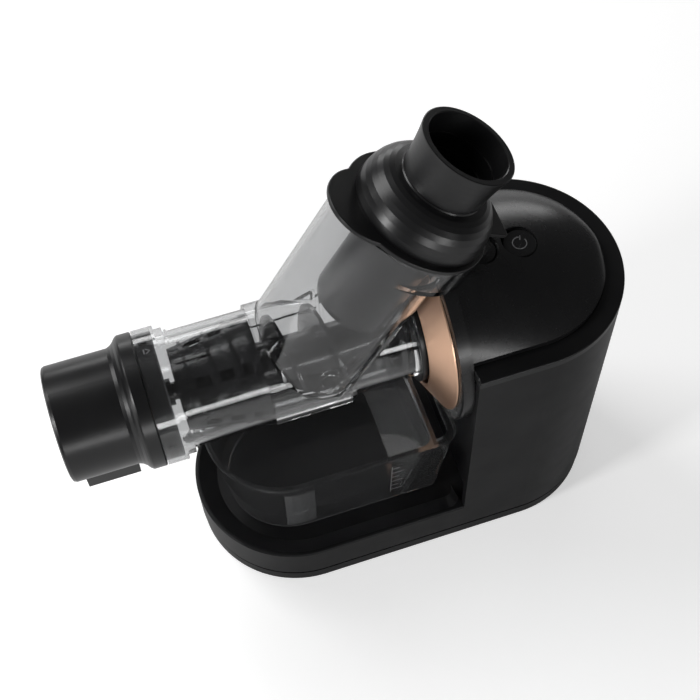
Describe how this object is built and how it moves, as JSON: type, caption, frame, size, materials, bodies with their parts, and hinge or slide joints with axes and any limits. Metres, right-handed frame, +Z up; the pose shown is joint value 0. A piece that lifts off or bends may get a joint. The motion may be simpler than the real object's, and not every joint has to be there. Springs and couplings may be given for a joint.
{
  "type": "horizontal slow juicer",
  "caption": "Horizontal slow juicer: round-backed motor column on an oval base, clear chamber with tilted feed tube and pusher, pulp cap and open juice container.",
  "frame": {"origin": "on the floor, under the middle of the overall length and width", "axes": "+Z up, +X from the pulp cap towards the motor column, -Y towards the side where the container comes out"},
  "size_m": [0.386, 0.152, 0.3866],
  "materials": {
    "black_satin": "satin",
    "black_gloss": "gloss",
    "copper_trim": "brushed, rose-gold anodised",
    "smoke_clear": "clear",
    "smoke_dark": "clear, smoked",
    "grey_plastic": "satin",
    "rubber": "matte",
    "silicone": "matte",
    "steel": "brushed",
    "gear_plastic": "satin",
    "winding": "enamelled wire",
    "board": "satin"
  },
  "bodies": {
    "motor_unit": {"main_housing": "black_satin", "rim_trim": "black_satin", "top_cover": "black_gloss", "front_bezel": "black_gloss", "drip_guard": "black_satin", "copper_cone": "copper_trim", "base_plate": "black_satin", "base_screws": "steel", "rubber_feet": "rubber", "cord_grommet": "rubber", "control_board": "board", "button_switches": "black_satin", "board_screws": "steel", "gearbox_housing": "grey_plastic", "gearbox_cover": "grey_plastic", "gearbox_screws": "steel", "idler_axles": "steel", "output_bearings": "steel", "shaft_seal": "silicone", "motor_can": "steel", "motor_end_shields": "steel", "motor_spacers": "steel", "motor_screws": "steel", "motor_stator": "steel", "motor_coils": "winding", "motor_bearings": "steel", "interlock_switch": "black_satin"},
    "output_drive": {"output_spindle": "gear_plastic"},
    "second_idler": {"second_idler_gear": "gear_plastic"},
    "first_idler": {"first_idler_gear": "gear_plastic"},
    "rotor": {"motor_rotor": "steel", "motor_fan": "black_satin"},
    "chamber": {"chamber_body": "smoke_clear", "locking_flange": "black_satin", "chamber_seal": "silicone", "cap_gasket": "silicone", "strainer": "grey_plastic"},
    "auger_unit": {"auger": "grey_plastic", "auger_shaft": "steel"},
    "cap": {"pulp_cap": "black_satin"},
    "pusher": {"pusher_grip": "black_satin", "pusher_shaft": "black_gloss"},
    "container": {"juice_container": "smoke_dark"},
    "power_key": {"power_button": "black_gloss"},
    "reverse_key": {"reverse_button": "black_gloss"}
  },
  "joints": [
    {"name": "spindle_spin", "type": "hinge", "parent": "motor_unit", "child": "output_drive", "pos_m": [0.09, 0, 0.202], "axis": [1, 0, 0], "continuous": true},
    {"name": "second_idler_spin", "type": "hinge", "parent": "motor_unit", "child": "second_idler", "pos_m": [0.09, 0, 0.16138], "axis": [1, 0, 0], "continuous": true},
    {"name": "first_idler_spin", "type": "hinge", "parent": "motor_unit", "child": "first_idler", "pos_m": [0.1, 0, 0.12637], "axis": [1, 0, 0], "continuous": true},
    {"name": "rotor_spin", "type": "hinge", "parent": "motor_unit", "child": "rotor", "pos_m": [0.14, 0, 0.09838], "axis": [1, 0, 0], "continuous": true},
    {"name": "auger_spin", "type": "hinge", "parent": "chamber", "child": "auger_unit", "pos_m": [0, 0, 0.202], "axis": [1, 0, 0], "continuous": true},
    {"name": "chamber_slide", "type": "slide", "parent": "motor_unit", "child": "chamber", "axis": [-1, 0, 0], "range_m": [0, 0.11]},
    {"name": "cap_twist", "type": "hinge", "parent": "chamber", "child": "cap", "pos_m": [-0.125, 0, 0.202], "axis": [1, 0, 0], "range_deg": [0, 30]},
    {"name": "pusher_slide", "type": "slide", "parent": "chamber", "child": "pusher", "axis": [0.5, 0, 0.866], "range_m": [0, 0.1]},
    {"name": "container_slide", "type": "slide", "parent": "motor_unit", "child": "container", "axis": [-0.4197, -0.8494, 0.3198], "range_m": [0, 0.16]},
    {"name": "power_press", "type": "slide", "parent": "motor_unit", "child": "power_key", "axis": [0, 0, -1], "range_m": [0, 0.0015], "stiffness_N_per_m": 400, "springref_m": -0.001},
    {"name": "reverse_press", "type": "slide", "parent": "motor_unit", "child": "reverse_key", "axis": [0, 0, -1], "range_m": [0, 0.0015], "stiffness_N_per_m": 400, "springref_m": -0.001}
  ],
  "couplings": [
    {"joint": "second_idler_spin", "follows": "spindle_spin", "ratio": -4},
    {"joint": "first_idler_spin", "follows": "spindle_spin", "ratio": 14.667},
    {"joint": "rotor_spin", "follows": "spindle_spin", "ratio": -53.778},
    {"joint": "auger_spin", "follows": "spindle_spin", "ratio": 1}
  ]
}
